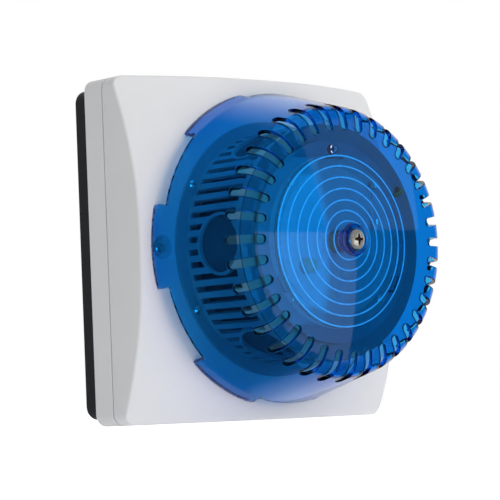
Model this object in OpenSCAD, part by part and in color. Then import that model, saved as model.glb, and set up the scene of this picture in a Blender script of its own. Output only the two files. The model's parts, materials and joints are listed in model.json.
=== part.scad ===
// Wall-mounted alarm siren with a blue strobe dome.
// Every part is drawn in a depth frame: x to the right, y up and z out from the wall.
// facing() turns that frame so that up is +Z and the front looks along -Y.

/* [Housing] */
// Side of the square housing
housing_w = 200; // [196:1:210]
// Corner radius of the housing's outline
housing_corner_r = 7; // [4:0.5:12]
// Wall thickness of the two light grey mouldings
shell_t = 3; // [2.5:0.1:3.4]
// Side of the black wall plate
plate_w = 192; // [190:1:194]
// Distance from the wall to the front rim of the wall plate
plate_front = 14.3; // [13:0.1:15]
// Distance from the wall to the joint between base and cover
base_front = 30.4; // [29:0.1:31]
// Width of the joint between base and cover
seam_gap = 0.6; // [0.4:0.1:0.8]
// Distance from the wall to the flat middle of the front cover
cover_face = 61.6; // [61:0.1:62]
// Radius of the big sphere that the cover's corners fall away on
cover_sphere_r = 253.3; // [240:1:280]

/* [Dome] */
// Outer radius of the dome's skirt
skirt_r = 92.6; // [91:0.1:93]
// Draft angle of the dome's wall
wall_draft = 15; // [13:0.1:16]
// Rounding radius of the shoulder between wall and front
shoulder_round = 12; // [8:0.5:13]
// Radius that the dome's front is curved to
front_curve_r = 315; // [280:1:400]
// Distance from the wall to the dome's apex
dome_top = 133; // [132.5:0.1:133.5]
// Wall thickness of the dome
dome_t = 2.5; // [2:0.1:3]
// Number of sound slots round the shoulder
dome_slots = 36; // [24:1:36]
// Width of one sound slot
dome_slot_w = 4.8; // [3:0.1:5]
// Number of drain notches in the skirt
skirt_notches = 6; // [3:1:8]
// Height of a drain notch
notch_h = 8.2; // [5:0.1:9]

/* [Sounder] */
// Outer radius of the ribbed cage
cage_r = 68; // [68:0.1:68.5]
// Number of slots round the cage
cage_slots = 60; // [30:1:60]
// Radius of the round side ports
port_r = 16; // [12:0.5:16]
// Radius of the horn's mouth, inside
horn_mouth_r = 57; // [50:0.5:57]

/* [Mounting] */
// Hole-to-hole distance of the four wall holes
wall_hole_pitch = 150; // [146:1:152]
// Radius of a wall hole
wall_hole_r = 2.75; // [2:0.05:3]
// Radius of the cable entry's bore
cable_bore_r = 5; // [3:0.5:6]
// Travel of the wall tamper plunger
plunger_travel = 3; // [2:0.1:3]

/* [Hidden] */
$fn = 96;
fuse = 0.01;

half_w = housing_w / 2;
cover_back = base_front + seam_gap;
inner_w = housing_w - 2 * shell_t;
inner_corner_r = max(housing_corner_r - shell_t, 1);
base_floor = plate_front + 2.5;
plate_floor = 3;
plate_rib_x = 40;
plate_rib_top = 9;
housing_post = 85;
wall_post = wall_hole_pitch / 2;

// Cover: flat middle, a soft bend and a sphere towards the corners
bend_r0 = half_w - 5;
bend_r1 = half_w + 5;
sphere_drop = sqrt(cover_sphere_r * cover_sphere_r - half_w * half_w);
cover_screw_x = 83.5;
screw_seat = cover_face - 5;
post_top = screw_seat - 2.5;
cover_hole_r = 65.5;

// Dome
fold_d = cover_face + 1.6;
wall_out = [cos(wall_draft), sin(wall_draft)];
wall_up = [-sin(wall_draft), cos(wall_draft)];
slot_side_end = 110.3;
slot_front_end = 63.2;
boss_r = 6.5;
boss_end = 118;
washer_seat = dome_top - 2.7;
recess_r = 6.9;

// Cage and horn
cage_t = 2.5;
flange_top = cover_face + 1.8;
deck_back = 107.5;
deck_front = 110;
port_d = 91;
cage_flange_r = 74.5;
cage_screw_r = 71;
cage_screw_angles = [30, 150, 210, 330];
horn_screw_r = 62.6;
horn_screw_angles = [45, 135, 225, 315];
horn_flange_r = 65.3;
horn_flange_back = cover_face - 2.5;
horn_throat_d = 42;
horn_mouth_d = 98;
horn_throat_r = 11;
horn_t = 2;
throat_flange_back = 40;
cage_slot_half = 1.7;
cage_slot_back = 66;
cage_slot_front = 104.5;
ports = 6;

// Driver, from its yoke to the film that closes the horn's throat
driver_r = 32;
driver_bore_r = 21;
pole_r = 9;
coil_in_r = 9.3;
coil_out_r = 9.6;
gap_out_r = 9.9;
yoke_back = 19;
magnet_back = 22;
magnet_front = 30;
pole_front = 33;
film_back = 36.2;
film_front = 36.5;
film_r = 17;
dome_film_top = 38.8;
dome_film_r = 21.4;
driver_screw_r = 28.5;
driver_screw_angles = [90, 210, 330];

// Strobe
board_back = deck_front + 1;
board_front = board_back + 1.6;
board_r = 58;
board_post_r = 46;
lens_r = 49.6;
lens_apex = 124.4;
lens_curve_r = 239;
lens_t = 2;
lens_ring_half = 0.7;
lens_ring_h = 0.6;
lens_hole_r = 7.2;
lens_rings = [11, 17.1, 23.1, 29.7, 36.2, 42.7, 48.8];
lens_legs = [90, 210, 330];
tube_x = 29;
tube_y0 = 13;
tube_y1 = 31;
tube_d = 115.4;
led_y = 53;
coil_x = -24;
coil_y = -14;
lead_hole_r = 62.4;
lead_hole_a = 30;

// Main board, tamper switches, battery and cable entry
main_back = 24;
main_front = main_back + 1.6;
main_y0 = 42;
main_y1 = 92;
main_half_x = 66;
main_post_x = 61;
main_post_y = [47, 87];
terminal_x0 = -46;
terminal_x1 = -6;
terminal_y0 = 80;
terminal_y1 = 90;
terminal_pitch = 5;
terminal_ways = 8;
terminal_screw_y = 86.2;
terminal_low = main_front + 8;
terminal_top = main_front + 12;
switch_x = 20;
switch_y = 82;
switch_w = 6.5;
switch_top = main_front + 10.5;
lever_pin_x = switch_x + 1.5;
lever_pin_d = switch_top + 1.7;
lever_back = lever_pin_d - 0.4;
lever_t = 0.4;
lever_mid_y = switch_y + switch_w / 2;
button_x = lever_pin_x + 6;
push_post_x = 38;
push_post_gap = 0.2;
plunger_x = -62;
plunger_r = 3;
plunger_fit = 0.06;
tamper_front = base_floor + 14;
collar_back = base_floor + 1.7 + plunger_travel + 0.3;
collar_t = 1.5;
chamber_front = tamper_front - 2;
battery_half_x = 48;
battery_y0 = -96.5;
battery_y1 = -35;
battery_front = base_floor + 25;
strap_x = 56;
strap_y = -65;
strap_front = battery_front + 1.5;
cable_x = 62;

// ---------- shared shapes ----------

module facing() rotate([90, 0, 0]) children();

module at(x, y, z = 0) translate([x, y, z]) children();

module on_circle(r, angles) for (a = angles) rotate([0, 0, a]) translate([r, 0, 0]) children();

module corners(x, y) for (sx = [-1, 1], sy = [-1, 1]) translate([sx * x, sy * y, 0]) children();

// Round bar along the depth axis, from z0 to z1
module bar(r, z0, z1) translate([0, 0, z0]) cylinder(r = r, h = z1 - z0);

// Ring along the depth axis
module ring(r_in, r_out, z0, z1) difference() {
    bar(r_out, z0, z1);
    bar(r_in, z0 - 1, z1 + 1);
}

// Block between two x values, two y values and two depths
module block(x0, x1, y0, y1, z0, z1) translate([x0, y0, z0]) cube([x1 - x0, y1 - y0, z1 - z0]);

module rounded_square(w, r) union() {
    square([w, w - 2 * r], center = true);
    square([w - 2 * r, w], center = true);
    for (sx = [-1, 1], sy = [-1, 1]) translate([sx * (w / 2 - r), sy * (w / 2 - r)]) circle(r = r);
}

module slab(w, r, z0, z1) translate([0, 0, z0]) linear_extrude(z1 - z0) rounded_square(w, r);

// Cross-head screw: domed head on the seat, plain shank going back to tip
module screw(head_r, head_h, shank_r, seat, tip) let (rim = seat + head_h * 0.45) difference() {
    union() {
        bar(shank_r, tip, seat + fuse);
        bar(head_r, seat, rim);
        translate([0, 0, rim]) cylinder(r1 = head_r, r2 = head_r * 0.62, h = head_h * 0.55);
    }
    for (a = [0, 90]) rotate([0, 0, a])
        block(-head_r * 0.5, head_r * 0.5, -head_r * 0.1, head_r * 0.1, rim, seat + head_h + 1);
}

// Tube of radius r swept along points that a smooth curve passes through
function blend(p0, p1, p2, p3, t) = 0.5 * (2 * p1 + (p2 - p0) * t
    + (2 * p0 - 5 * p1 + 4 * p2 - p3) * t * t + (3 * p1 - p0 - 3 * p2 + p3) * t * t * t);
function smooth(p, n) = [
    for (i = [0:len(p) - 2], k = [0:n - 1])
        blend(p[max(i - 1, 0)], p[i], p[i + 1], p[min(i + 2, len(p) - 1)], k / n),
    p[len(p) - 1]
];
function unit(v) = v / norm(v);
function heading(p, i) = unit(p[min(i + 1, len(p) - 1)] - p[max(i - 1, 0)]);
function sideways(h) = unit(cross(h, [0.31, 0.17, 0.93]));

module lead(route, r, sides = 8, steps = 4) {
    p = smooth(route, steps);
    n = len(p);
    points = [
        for (i = [0:n - 1]) let (h = heading(p, i), u = sideways(h), v = cross(h, u))
            for (k = [0:sides - 1]) p[i] + r * (cos(360 * k / sides) * u + sin(360 * k / sides) * v)
    ];
    walls = [
        for (i = [0:n - 2], k = [0:sides - 1]) let (a = i * sides + k, b = i * sides + (k + 1) % sides)
            [a, a + sides, b + sides, b]
    ];
    back_cap = [for (k = [0:sides - 1]) k];
    front_cap = [for (k = [0:sides - 1]) n * sides - 1 - k];
    polyhedron(points = points, faces = concat([back_cap], walls, [front_cap]), convexity = 6);
}

// ---------- housing ----------

module wall_plate() color([0.13, 0.14, 0.15]) facing() difference() {
    union() {
        difference() {
            slab(plate_w, 8, 0, plate_front);
            slab(plate_w - 6, 5, plate_floor, plate_front + 1);
        }
        corners(wall_post, wall_post) bar(7, plate_floor - fuse, 8);
        corners(housing_post, housing_post) bar(5, plate_floor - fuse, plate_front);
        for (s = [-plate_rib_x, plate_rib_x]) {
            block(s - 1, s + 1, -plate_w / 2 + 2, plate_w / 2 - 2, plate_floor - fuse, plate_rib_top);
            block(-plate_w / 2 + 2, plate_w / 2 - 2, s - 1, s + 1, plate_floor - fuse, plate_rib_top);
        }
    }
    corners(wall_post, wall_post) bar(wall_hole_r, -1, 9);
    corners(housing_post, housing_post) bar(1.5, 5, plate_front + 1);
    at(cable_x, 0) bar(13, -1, plate_floor + 1);
    at(plunger_x, 0) bar(plunger_r + 0.4, -1, plate_floor + 1);
}

module base_housing() color([0.83, 0.84, 0.84]) facing() difference() {
    union() {
        difference() {
            slab(housing_w, housing_corner_r, plate_front, base_front);
            slab(inner_w, inner_corner_r, base_floor, base_front + 1);
        }
        for (s = [-1, 1]) {
            at(s * cover_screw_x, 0) bar(5, base_floor - fuse, post_top);
            at(s * strap_x, strap_y) bar(4, base_floor - fuse, battery_front);
            for (y = main_post_y) at(s * main_post_x, y) bar(3, base_floor - fuse, main_back);
        }
    }
    for (s = [-1, 1]) {
        at(s * cover_screw_x, 0) bar(1.75, 34, post_top + 1);
        at(s * strap_x, strap_y) bar(1.25, 30, battery_front + 1);
        for (y = main_post_y) at(s * main_post_x, y) bar(1.2, base_floor + 1, main_back + 1);
    }
    corners(wall_post, wall_post) bar(6, plate_front - 1, base_floor + 1);
    corners(housing_post, housing_post) bar(1.8, plate_front - 1, base_floor + 1);
    at(cable_x, 0) bar(9, plate_front - 1, base_floor + 1);
    at(plunger_x, 0) bar(plunger_r + 0.4, plate_front - 1, base_floor + 1);
}

module housing_screws() color("silver") facing()
    corners(housing_post, housing_post) screw(3, 2.2, 1.5, base_floor, 6);

module housing_seal() color([0.09, 0.09, 0.1]) facing() difference() {
    slab(housing_w - 2, housing_corner_r - 1, base_front, cover_back);
    slab(inner_w, inner_corner_r, base_front - 1, cover_back + 1);
}

function sphere_depth(r) = cover_face - sphere_drop + sqrt(cover_sphere_r * cover_sphere_r - r * r);
function cover_depth(r) = r <= bend_r0 ? cover_face
    : r >= bend_r1 ? sphere_depth(r)
    : cover_face - (cover_face - sphere_depth(bend_r1)) * pow((r - bend_r0) / (bend_r1 - bend_r0), 2);

// Solid under the cover's curved face, moved back by sink
module cover_body(sink, back) rotate_extrude() polygon(concat(
    [[0, back], [0, cover_face - sink]],
    [for (r = [bend_r0:2.5:bend_r1]) [r, cover_depth(r) - sink]],
    [for (r = [bend_r1 + 5:5:bend_r1 + 40]) [r, cover_depth(r) - sink]],
    [[bend_r1 + 40, back]]
));

module front_cover() color([0.85, 0.86, 0.87]) facing() difference() {
    union() {
        difference() {
            intersection() {
                slab(housing_w, housing_corner_r, cover_back, cover_face + 5);
                cover_body(0, cover_back - 1);
            }
            intersection() {
                slab(inner_w, inner_corner_r, cover_back - 1, cover_face);
                cover_body(shell_t, cover_back - 2);
            }
        }
        for (s = [-1, 1]) at(s * cover_screw_x, 0) bar(9.5, post_top, cover_face - 1);
        on_circle(cage_screw_r, cage_screw_angles) bar(4, cover_face - 8, cover_face - 1);
        at(push_post_x, lever_mid_y) bar(2, lever_back + lever_t + push_post_gap, cover_face - 1);
    }
    bar(cover_hole_r, cover_back, cover_face + 1);
    for (s = [-1, 1]) at(s * cover_screw_x, 0) {
        bar(7, screw_seat, cover_face + 1);
        bar(2.2, post_top - 1, screw_seat + 1);
    }
    on_circle(cage_screw_r, cage_screw_angles) bar(1.3, cover_face - 9, cover_face + 1);
}

module cover_screws() color("silver") facing()
    for (s = [-1, 1]) at(s * cover_screw_x, 0) screw(4.4, 3.2, 1.75, screw_seat, 36);

// ---------- dome ----------

function cap_depth(r, top, curve_r) = top - curve_r + sqrt(curve_r * curve_r - r * r);

// The shoulder's centre is one rounding radius inside both the wall's line and the front's circle
front_centre = [0, dome_top - front_curve_r];
wall_foot = (wall_out * [skirt_r, fold_d] - shoulder_round) * wall_out;
along = (wall_foot - front_centre) * wall_up;
reach = pow(front_curve_r - shoulder_round, 2) - pow(norm(wall_foot - front_centre), 2);
shoulder_centre = wall_foot + (sqrt(along * along + reach) - along) * wall_up;
shoulder_end = acos(shoulder_centre[0] / (front_curve_r - shoulder_round));

// Outline of the dome, shrunk inwards by t: skirt, sloping wall, rounded shoulder and curved front
function dome_outline(t, foot) = concat(
    [[0, foot], [skirt_r - t, foot], [skirt_r - t, fold_d - t * tan(wall_draft / 2)]],
    [for (i = [0:6]) let (a = wall_draft + (shoulder_end - wall_draft) * i / 6)
        shoulder_centre + (shoulder_round - t) * [cos(a), sin(a)]],
    [for (r = [64:-8:0]) [r, cap_depth(r, dome_top - t, front_curve_r - t)]]
);

// One sound slot: round-ended along the wall and along the front, joined over the shoulder
module sound_slot() {
    side_d = slot_side_end + dome_slot_w / 2;
    front_r = slot_front_end + dome_slot_w / 2;
    block(front_r, skirt_r, -dome_slot_w / 2, dome_slot_w / 2, side_d, dome_top + 2);
    translate([front_r, 0, side_d]) rotate([0, 90, 0]) cylinder(d = dome_slot_w, h = skirt_r - front_r);
    at(front_r, 0) bar(dome_slot_w / 2, side_d, dome_top + 2);
}

module skirt_notch() {
    half = 180 / skirt_notches / 2;
    far = skirt_r + 8;
    translate([0, 0, cover_face - 1]) linear_extrude(notch_h + 1)
        polygon([[0, 0], [far, -far * tan(half)], [far, far * tan(half)]]);
}

module lens_dome() color([0.02, 0.3, 0.85, 0.6]) facing() difference() {
    union() {
        difference() {
            rotate_extrude() polygon(dome_outline(0, cover_face));
            rotate_extrude() polygon(dome_outline(dome_t, cover_face - 1));
            difference() {
                for (i = [0:skirt_notches - 1]) rotate([0, 0, 30 + 360 * i / skirt_notches]) skirt_notch();
                bar(cage_r + 8, cover_face - 2, cover_face + 20);
            }
            for (i = [0:dome_slots - 1]) rotate([0, 0, 360 * i / dome_slots]) sound_slot();
        }
        bar(boss_r, boss_end, dome_top - 1.5);
        bar(recess_r + 2, washer_seat - 2.5, dome_top - 1.5);
    }
    bar(recess_r, washer_seat, dome_top + 1);
    bar(2.3, boss_end - 1, dome_top);
}

module dome_screw() color("silver") facing() screw(5.65, 3, 2, washer_seat + 1, 111);

module screw_washer() color([0.1, 0.1, 0.12]) facing() ring(2.3, 6.2, washer_seat, washer_seat + 1);

module centre_post() color([0.8, 0.68, 0.35]) facing() difference() {
    union() {
        bar(5, deck_back - 1, boss_end);
        bar(8, deck_back - 2.5, deck_back);
    }
    bar(2, deck_front, boss_end + 1);
}

// ---------- sounder ----------

// Bars of radius r through the middle of each side port
module at_ports(r) for (i = [0:ports - 1]) rotate([0, 0, 360 * i / ports])
    translate([50, 0, port_d]) rotate([0, 90, 0]) cylinder(r = r, h = 30);

module sounder_cage() color([0.58, 0.6, 0.61]) facing() difference() {
    union() {
        difference() {
            ring(cage_r - cage_t, cage_r, cover_face, deck_front);
            for (i = [0:cage_slots - 1]) rotate([0, 0, 360 * (i + 0.5) / cage_slots])
                block(cage_r - 6, cage_r + 2, -cage_slot_half, cage_slot_half,
                    cage_slot_back, cage_slot_front);
        }
        intersection() {
            ring(cage_r - cage_t, cage_r, 70, deck_front);
            at_ports(port_r + 1.8);
        }
        ring(60, cage_flange_r, cover_face, flange_top);
        bar(cage_r - 1, deck_back, deck_front);
        on_circle(board_post_r, horn_screw_angles) bar(3, deck_front - fuse, board_back);
    }
    at_ports(port_r);
    on_circle(cage_screw_r, cage_screw_angles) bar(1.6, cover_face - 1, flange_top + 1);
    on_circle(horn_screw_r, horn_screw_angles) bar(1.6, cover_face - 1, flange_top + 1);
    on_circle(board_post_r, horn_screw_angles) bar(1.2, deck_back + 0.8, board_back + 1);
    on_circle(lead_hole_r, [lead_hole_a]) {
        bar(2.2, cover_face - 1, flange_top + 1);
        bar(2.2, deck_back - 1, deck_front + 1);
    }
    bar(5, deck_back - 1, deck_front + 1);
}

module cage_screws() color("silver") facing()
    on_circle(cage_screw_r, cage_screw_angles) screw(2.6, 1.8, 1.3, flange_top, cover_face - 7);

module port_screens() color([0.2, 0.2, 0.21]) facing() intersection() {
    ring(cage_r - cage_t - 0.8, cage_r - cage_t, 70, deck_back);
    at_ports(port_r + 0.4);
}

function horn_r(d) = horn_throat_r
    + (horn_mouth_r - horn_throat_r) * pow((d - horn_throat_d) / (horn_mouth_d - horn_throat_d), 1.7);

module horn_bell(grow, back) rotate_extrude() polygon(concat(
    [[0, back], [horn_throat_r + grow, back]],
    [
        for (i = [0:12])
            let (d = horn_throat_d + (horn_mouth_d - horn_throat_d) * i / 12)
                [horn_r(d) + grow, d]
    ],
    [[0, horn_mouth_d]]
));

module horn() color([0.3, 0.3, 0.31]) facing() difference() {
    union() {
        horn_bell(horn_t, throat_flange_back);
        bar(driver_r, throat_flange_back, throat_flange_back + 2.5);
        bar(horn_flange_r, horn_flange_back, cover_face);
        on_circle(horn_screw_r - 1.2, horn_screw_angles) bar(3.5, cover_face - 8, cover_face - 1);
    }
    horn_bell(0, throat_flange_back - 1);
    translate([0, 0, horn_mouth_d - fuse]) cylinder(r = horn_mouth_r, h = 1);
    on_circle(horn_screw_r, horn_screw_angles) bar(1.3, cover_face - 9, cover_face + 1);
    on_circle(driver_screw_r, driver_screw_angles) bar(1.6, throat_flange_back - 1, throat_flange_back + 4);
    on_circle(lead_hole_r, [lead_hole_a]) bar(2.2, horn_flange_back - 1, cover_face + 1);
}

module horn_screws() color("silver") facing()
    on_circle(horn_screw_r, horn_screw_angles) screw(2.4, 1.8, 1.3, flange_top, cover_face - 7);

module driver_yoke() color([0.55, 0.56, 0.58]) facing() {
    bar(27, yoke_back, magnet_back);
    bar(pole_r, magnet_back - fuse, pole_front);
}

module ring_magnet() color([0.2, 0.2, 0.21]) facing() ring(13, 26, magnet_back, magnet_front);

module top_plate() color([0.6, 0.61, 0.63]) facing() difference() {
    ring(gap_out_r, 31, magnet_front, pole_front);
    on_circle(driver_screw_r, driver_screw_angles) bar(1.4, magnet_front - 1, pole_front + 1);
}

module driver_frame() color([0.14, 0.14, 0.15]) facing() difference() {
    ring(driver_bore_r, driver_r, pole_front, film_back);
    on_circle(driver_screw_r, driver_screw_angles) bar(1.6, pole_front - 1, film_front + 1);
}

module driver_cap() color([0.14, 0.14, 0.15]) facing() difference() {
    union() {
        ring(driver_bore_r, driver_r, film_front, throat_flange_back);
        ring(25, driver_r, film_back, film_front + 0.1);
    }
    on_circle(driver_screw_r, driver_screw_angles) bar(1.6, film_back - 1, throat_flange_back + 1);
}

module diaphragm() color([0.75, 0.62, 0.3]) facing() {
    ring(coil_in_r, coil_out_r, magnet_front + 0.6, film_back);
    ring(coil_in_r, film_r, film_back, film_front);
    rotate_extrude() polygon(concat(
        [for (r = [0:1.9:9.5]) [r, cap_depth(r, dome_film_top, dome_film_r)]],
        [for (r = [9.5:-1.9:0]) [r, cap_depth(r, dome_film_top - 0.3, dome_film_r)]]
    ));
}

// Flat ring with one roll
module diaphragm_surround() color([0.2, 0.2, 0.2]) facing() rotate_extrude()
    translate([film_r, film_back]) polygon([
        [0, 0], [1, 0], [1.6, 0.7], [2.4, 0.7], [3, 0], [8, 0], [8, 0.3],
        [3.1, 0.3], [2.5, 1], [1.5, 1], [0.9, 0.3], [0, 0.3]
    ]);

module driver_screws() color("silver") facing()
    on_circle(driver_screw_r, driver_screw_angles)
        screw(2.6, 1.8, 1.4, throat_flange_back + 2.5, magnet_front + 1);

// ---------- strobe ----------

function lens_top(r) = cap_depth(r, lens_apex, lens_curve_r);

module fresnel_lens() color([0.8, 0.9, 1, 0.5]) facing() difference() {
    union() {
        rotate_extrude() polygon(concat(
            [for (r = [8:4:48]) [r, lens_top(r) - lens_t]],
            [[lens_r, lens_top(lens_r) - lens_t], [lens_r, lens_top(lens_r)]],
            [for (r = [48:-4:8]) [r, lens_top(r)]]
        ));
        rotate_extrude() for (r = lens_rings) polygon([
            [r - lens_ring_half, lens_top(r) - 0.5], [r + lens_ring_half, lens_top(r) - 0.5],
            [r + lens_ring_half, lens_top(r)], [r, lens_top(r) + lens_ring_h],
            [r - lens_ring_half, lens_top(r)]
        ]);
        intersection() {
            ring(lens_r - 2.6, lens_r, board_front, lens_top(lens_r) - 1);
            for (a = lens_legs) rotate([0, 0, a])
                block(lens_r - 5, lens_r + 2, -5, 5, board_front - 1, lens_apex);
        }
    }
    bar(lens_hole_r, board_front, lens_apex + 1);
}

module strobe_board() color([0.85, 0.86, 0.86]) facing() difference() {
    bar(board_r, board_back, board_front);
    bar(6, board_back - 1, board_front + 1);
    on_circle(board_post_r, horn_screw_angles) bar(1.4, board_back - 1, board_front + 1);
}

module strobe_board_screws() color("silver") facing()
    on_circle(board_post_r, horn_screw_angles) screw(2.4, 1.8, 1.2, board_front, deck_back + 1);

module strobe_reflector() color([0.9, 0.91, 0.92]) facing() difference() {
    bar(42, board_front, board_front + 0.6);
    bar(7, board_front - 1, board_front + 1);
    at(tube_x, tube_y0 - 5) bar(1.6, board_front - 1, board_front + 1);
    at(coil_x, coil_y) bar(5, board_front - 1, board_front + 1);
}

// Lying along y: round bar from y0 to y1 at a depth
module upright_bar(r, x, y0, y1, z) translate([x, y0, z]) rotate([-90, 0, 0]) cylinder(r = r, h = y1 - y0);

module flash_tube() color([0.9, 0.95, 1, 0.4]) facing() upright_bar(2, tube_x, tube_y0, tube_y1, tube_d);

module flash_tube_caps() color([0.7, 0.71, 0.73]) facing() {
    upright_bar(2.1, tube_x, tube_y0 - 3, tube_y0, tube_d);
    upright_bar(2.1, tube_x, tube_y1, tube_y1 + 3, tube_d);
}

module flash_leads() color([0.75, 0.76, 0.78]) facing() for (s = [0, 1]) {
    inner = s == 0 ? tube_y0 - 3 : tube_y1 + 3;
    outer = s == 0 ? tube_y0 - 5 : tube_y1 + 5;
    upright_bar(0.5, tube_x, min(inner, outer), max(inner, outer), tube_d);
    at(tube_x, outer) bar(0.5, board_front, tube_d);
    translate([tube_x, outer, tube_d]) sphere(r = 0.5);
}

module trigger_coil() color([0.75, 0.55, 0.1]) facing() at(coil_x, coil_y) {
    bar(4.4, board_front, board_front + 1);
    bar(3.2, board_front + 1 - fuse, board_front + 5);
    bar(4.4, board_front + 5 - fuse, board_front + 6);
}

module status_led() color([0.95, 0.97, 1, 0.6]) facing() at(0, led_y) {
    bar(2.9, board_front, board_front + 1);
    bar(2.5, board_front + 1 - fuse, board_front + 3);
    translate([0, 0, board_front + 3]) intersection() {
        sphere(r = 2.5);
        bar(3, 0, 3);
    }
}

// ---------- electronics ----------

module main_board() color([0.06, 0.32, 0.18]) facing() difference() {
    block(-main_half_x, main_half_x, main_y0, main_y1, main_back, main_front);
    for (s = [-1, 1], y = main_post_y) at(s * main_post_x, y) bar(1.4, main_back - 1, main_front + 1);
}

module main_board_screws() color("silver") facing()
    for (s = [-1, 1], y = main_post_y) at(s * main_post_x, y)
        screw(2.6, 1.8, 1.2, main_front, base_floor + 1.2);

module at_terminals() for (i = [0:terminal_ways - 1])
    at(terminal_x0 + terminal_pitch * (i + 0.5), terminal_screw_y) children();

module terminal_block() color([0.1, 0.45, 0.25]) facing() difference() {
    union() {
        block(terminal_x0, terminal_x1, terminal_y0, terminal_y1, main_front, terminal_low);
        block(terminal_x0, terminal_x1, terminal_y0 + 2.5, terminal_y1, terminal_low - fuse, terminal_top);
    }
    at_terminals() {
        bar(1.8, terminal_low + 1, terminal_top + 1);
        block(-1.6, 1.6, -7.2, -2.2, main_front + 2, terminal_low - 2);
    }
}

module terminal_screws() color("silver") facing() at_terminals() difference() {
    bar(1.8, terminal_low + 1, terminal_top - 0.6);
    block(-1.4, 1.4, -0.3, 0.3, terminal_top - 1.4, terminal_top);
}

module can(r, h) {
    bar(r, main_front, main_front + h - 0.4);
    translate([0, 0, main_front + h - 0.4 - fuse]) cylinder(r1 = r, r2 = r - 0.5, h = 0.4);
}

module flash_capacitor() color([0.12, 0.13, 0.2]) facing() at(48, 66) can(8, 22);

module board_capacitors() color([0.1, 0.12, 0.3]) facing()
    for (p = [[-52, 70], [-52, 58], [6, 56]]) at(p[0], p[1]) can(4, 12);

module inverter_transformer() color([0.85, 0.7, 0.15]) facing() {
    block(18, 36, 52, 68, main_front, main_front + 2);
    block(20, 34, 54, 66, main_front + 2 - fuse, main_front + 12);
    block(24, 30, 52, 68, main_front + 2 - fuse, main_front + 14);
}

module board_chips() color([0.08, 0.08, 0.09]) facing() {
    block(-30, -12, 62, 70, main_front, main_front + 3);
    block(-34, -24, 50, 56, main_front, main_front + 2);
    block(-14, -6, 50, 56, main_front, main_front + 2);
}

module tamper_switch() color([0.12, 0.12, 0.13]) facing() difference() {
    union() {
        block(switch_x, switch_x + 20, switch_y, switch_y + switch_w, main_front, switch_top);
        for (y = [switch_y, switch_y + switch_w - 1.2])
            block(switch_x, switch_x + 3.5, y, y + 1.2, switch_top - fuse, lever_pin_d + 1.3);
    }
    upright_bar(0.65, lever_pin_x, switch_y - 1, switch_y + switch_w + 1, lever_pin_d);
    at(button_x, lever_mid_y) bar(0.97, switch_top - 2.8, switch_top + 1);
}

module tamper_lever() color([0.7, 0.71, 0.73]) facing() {
    upright_bar(0.6, lever_pin_x, switch_y + 0.1, switch_y + switch_w - 0.1, lever_pin_d);
    upright_bar(0.95, lever_pin_x, switch_y + 1.4, switch_y + switch_w - 1.4, lever_pin_d);
    block(lever_pin_x, push_post_x + 3, switch_y + 1.4, switch_y + switch_w - 1.4,
        lever_back, lever_back + lever_t);
}

module tamper_button() color([0.75, 0.15, 0.1]) facing()
    at(button_x, lever_mid_y) bar(0.9, switch_top - 2.2, lever_back - 0.1);

// ---------- wall tamper ----------

module wall_tamper_body() color([0.86, 0.86, 0.84]) facing() difference() {
    block(plunger_x - 10, plunger_x + 10, -10, 10, base_floor, tamper_front);
    at(plunger_x, 0) bar(plunger_r + plunger_fit, base_floor - 1, tamper_front + 1);
    at(plunger_x, 0) bar(6, base_floor + 1.7, chamber_front);
}

module wall_tamper_plunger() color([0.2, 0.2, 0.22]) facing() at(plunger_x, 0) {
    bar(plunger_r, 0, tamper_front + 2.2);
    bar(5.5, collar_back, collar_back + collar_t);
}

module wall_tamper_spring() color("silver") facing() at(plunger_x, 0)
    ring(4, 5.2, collar_back + collar_t, chamber_front);

module wall_tamper_contacts() color([0.8, 0.65, 0.3]) facing()
    for (s = [-1, 1]) at(plunger_x, s * 6.5)
        block(-2, 2, -0.6, 0.6, tamper_front, tamper_front + 5);

// ---------- battery, leads and cable entry ----------

module battery() color([0.15, 0.16, 0.18]) facing() {
    block(-battery_half_x, battery_half_x, battery_y0, battery_y1 - 1.5, base_floor, battery_front);
    let (lid_x = battery_half_x - 1)
        block(-lid_x, lid_x, battery_y1 - 1.5 - fuse, battery_y1, base_floor + 1, battery_front - 1);
}

module battery_terminals() color([0.8, 0.65, 0.3]) facing()
    for (s = [-1, 1]) at(s * 40, 0) block(-2.4, 2.4, battery_y1, battery_y1 + 6.3, 26, 26.8);

module battery_strap() color([0.6, 0.61, 0.63]) facing() difference() {
    union() {
        block(-strap_x, strap_x, strap_y - 6, strap_y + 6, battery_front, strap_front);
        for (s = [-1, 1]) at(s * strap_x, strap_y) bar(6, battery_front, strap_front);
    }
    for (s = [-1, 1]) at(s * strap_x, strap_y) bar(1.5, battery_front - 1, strap_front + 1);
}

module strap_screws() color("silver") facing()
    for (s = [-1, 1]) at(s * strap_x, strap_y) screw(3, 2, 1.25, strap_front, 31);

module battery_leads() color([0.7, 0.1, 0.08]) facing() for (s = [-1, 1]) lead([
    [s * 40, -28.4, 26.4], [s * 40, -25, 26.4], [s * 43, -12, 25], [s * 43, 10, 25],
    [s * 43, 30, 26], [s * 43, 40, 30], [s * 43, 45.5, 30.5], [s * 43, 47, 28.5], [s * 43, 47, 26.1]
], 1.3);

module sounder_leads() color([0.15, 0.15, 0.16]) facing() for (s = [-1, 1]) lead([
    [s * 3, 32.2, 34.6], [s * 3, 36, 34.4], [s * 3, 41, 33], [s * 3, 45, 30.5], [s * 3, 46, 28],
    [s * 3, 46, 26]
], 1);

module strobe_leads() color([0.75, 0.75, 0.2]) facing() lead([
    [56, 50, 26], [56, 50, 29], [55.5, 47, 36], [54.5, 38, 44], [54, 32, 51], [54, 31.2, 58],
    [54, 31.2, 75], [54, 31.2, 95], [54, 31.2, 108], [53.5, 30.9, 113], [51.5, 29.7, 116],
    [49, 28.3, 116], [48, 27.7, 114.5], [48, 27.7, 113]
], 1.2);

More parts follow.
